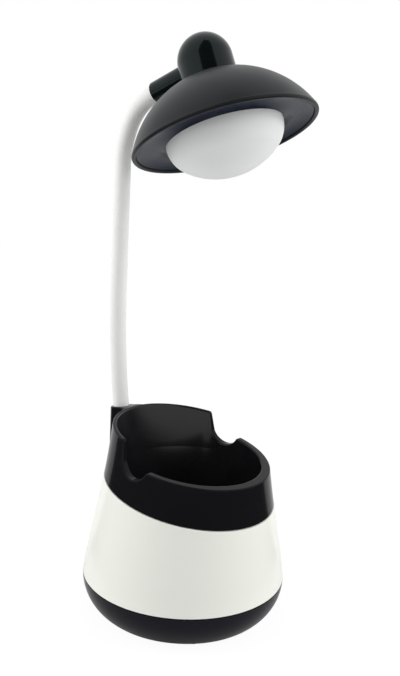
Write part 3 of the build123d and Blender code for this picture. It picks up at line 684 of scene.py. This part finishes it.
# Diffuser: an opal dome blown from frosted white acrylic, which light passes into a little.
# The reflector ring holds it by a small flange round its edge.
opal = moulded_plastic(
    "opal_white",
    (0.735, 0.746, 0.744),
    (0.755, 0.766, 0.764),
    rough=(0.32, 0.42),
    ripple_scale=1200.0,
    ripple_depth=0.00002,
    rubbed=0.03,
)
opal_shader = opal.node_tree.nodes["Principled BSDF"]
opal_shader.inputs["Subsurface Weight"].default_value = 0.35
opal_shader.inputs["Subsurface Radius"].default_value = (0.003, 0.003, 0.0028)
opal_shader.inputs["Subsurface Scale"].default_value = 1.0
paint(opal, "diffuser")


# Studio: a white table that runs into a white surround, with a soft box on each side.
# Two dark cards on the camera's side show only in what is glossy: the low one in the front of the cup,
# and the tall one as a streak on the cap.
camera_place = Vector((-0.3379, -0.2410, 0.2254))
camera_heading = radians(54.907)
camera_pitch = radians(9.436)
camera_roll = radians(2.924)
camera_lens = 40.58
camera_data = bpy.data.cameras.new("camera")
camera_data.lens = camera_lens
camera = bpy.data.objects.new("camera", camera_data)
aimed = (
    Matrix.Rotation(-camera_heading, 4, "Z")
    @ Matrix.Rotation(pi / 2 - camera_pitch, 4, "X")
    @ Matrix.Rotation(camera_roll, 4, "Z")
)
camera.matrix_world = Matrix.Translation(camera_place) @ aimed
bpy.context.scene.collection.objects.link(camera)
bpy.context.scene.camera = camera
bpy.context.scene.view_settings.view_transform = "Standard"

room_light = 0.65
world = bpy.data.worlds.new("white_surround")
bpy.context.scene.world = world
world.use_nodes = True
nodes, links = world.node_tree.nodes, world.node_tree.links
room = nodes["Background"]
room.inputs["Color"].default_value = (1.0, 1.0, 1.0, 1.0)
room.inputs["Strength"].default_value = room_light
white = nodes.new("ShaderNodeBackground")
white.inputs["Color"].default_value = (1.0, 1.0, 1.0, 1.0)
path = nodes.new("ShaderNodeLightPath")
glossy_too = nodes.new("ShaderNodeMath")
glossy_too.operation = "ADD"
clear_too = nodes.new("ShaderNodeMath")
clear_too.operation = "ADD"
pick = nodes.new("ShaderNodeMixShader")
links.new(path.outputs["Is Camera Ray"], glossy_too.inputs[0])
links.new(path.outputs["Is Glossy Ray"], glossy_too.inputs[1])
links.new(glossy_too.outputs[0], clear_too.inputs[0])
links.new(path.outputs["Is Transmission Ray"], clear_too.inputs[1])
links.new(clear_too.outputs[0], pick.inputs["Fac"])
links.new(room.outputs[0], pick.inputs[1])
links.new(white.outputs[0], pick.inputs[2])
links.new(pick.outputs[0], nodes["World Output"].inputs["Surface"])

floor_reach = 3.0
floor_grey = 0.85
floor_glow = 1.045
glow_share = 0.9
floor_white, nodes, links, shader = new_material("floor_white")
shader.inputs["Base Color"].default_value = (floor_grey, floor_grey, floor_grey, 1.0)
shader.inputs["Roughness"].default_value = 0.9
glow = nodes.new("ShaderNodeEmission")
glow.inputs["Strength"].default_value = floor_glow
path = nodes.new("ShaderNodeLightPath")
share = nodes.new("ShaderNodeMath")
share.operation = "MULTIPLY"
share.inputs[1].default_value = glow_share
pick = nodes.new("ShaderNodeMixShader")
links.new(path.outputs["Is Camera Ray"], share.inputs[0])
links.new(share.outputs[0], pick.inputs["Fac"])
links.new(shader.outputs[0], pick.inputs[1])
links.new(glow.outputs[0], pick.inputs[2])
links.new(pick.outputs[0], nodes["Material Output"].inputs["Surface"])
floor_bm = bmesh.new()
bmesh.ops.create_grid(floor_bm, x_segments=1, y_segments=1, size=floor_reach)
floor = new_object("floor", floor_bm, floor_white)

across = Vector((cos(camera_heading), -sin(camera_heading), 0.0))
toward = Vector((-sin(camera_heading), -cos(camera_heading), 0.0))
lamp_middle = Vector((0.0, 0.0, 0.17))
box_aside = 0.9
box_near = 0.1
box_rise = 0.55
box_width = 0.6
box_height = 0.9
box_power = 5.4


def soft_box(name, right):
    """Area lamp aimed at the middle of the desk lamp, to the right of the view, or to its left below zero."""
    data = bpy.data.lights.new(name, "AREA")
    data.shape = "RECTANGLE"
    data.size = box_width
    data.size_y = box_height
    data.energy = box_power
    lamp = bpy.data.objects.new(name, data)
    lamp.location = across * right + toward * box_near + Vector((0.0, 0.0, box_rise))
    aim = lamp_middle - lamp.location
    lamp.rotation_euler = aim.to_track_quat("-Z", "Y").to_euler()
    lamp.visible_glossy = False
    bpy.context.scene.collection.objects.link(lamp)


soft_box("box_left", -box_aside)
soft_box("box_right", box_aside)

card_steps = 48
card_black, nodes, links, shader = new_material("card_black")
shader.inputs["Base Color"].default_value = (0.01, 0.01, 0.01, 1.0)
shader.inputs["Roughness"].default_value = 0.9


def dark_card(name, spread, *folds):
    """Dark card swept round the camera's side of the lamp, with folds at given distances and heights."""
    start = Matrix.Rotation(-spread, 3, "Z") @ toward
    bm = bmesh.new()
    verts = [bm.verts.new((start.x * distance, start.y * distance, height)) for distance, height in folds]
    edges = [bm.edges.new(pair) for pair in zip(verts, verts[1:])]
    bmesh.ops.spin(
        bm, geom=verts + edges, cent=(0, 0, 0), axis=(0, 0, 1), angle=2 * spread, steps=card_steps
    )
    card = new_object(name, bm, card_black)
    card.visible_camera = False
    card.visible_diffuse = False
    card.visible_shadow = False


dark_card("card_low", radians(120.0), (0.14, 0.001), (0.45, 0.001), (0.45, 0.082))
dark_card("card_tall", radians(32.0), (0.75, 0.34), (0.75, 1.2), (0.25, 1.6))
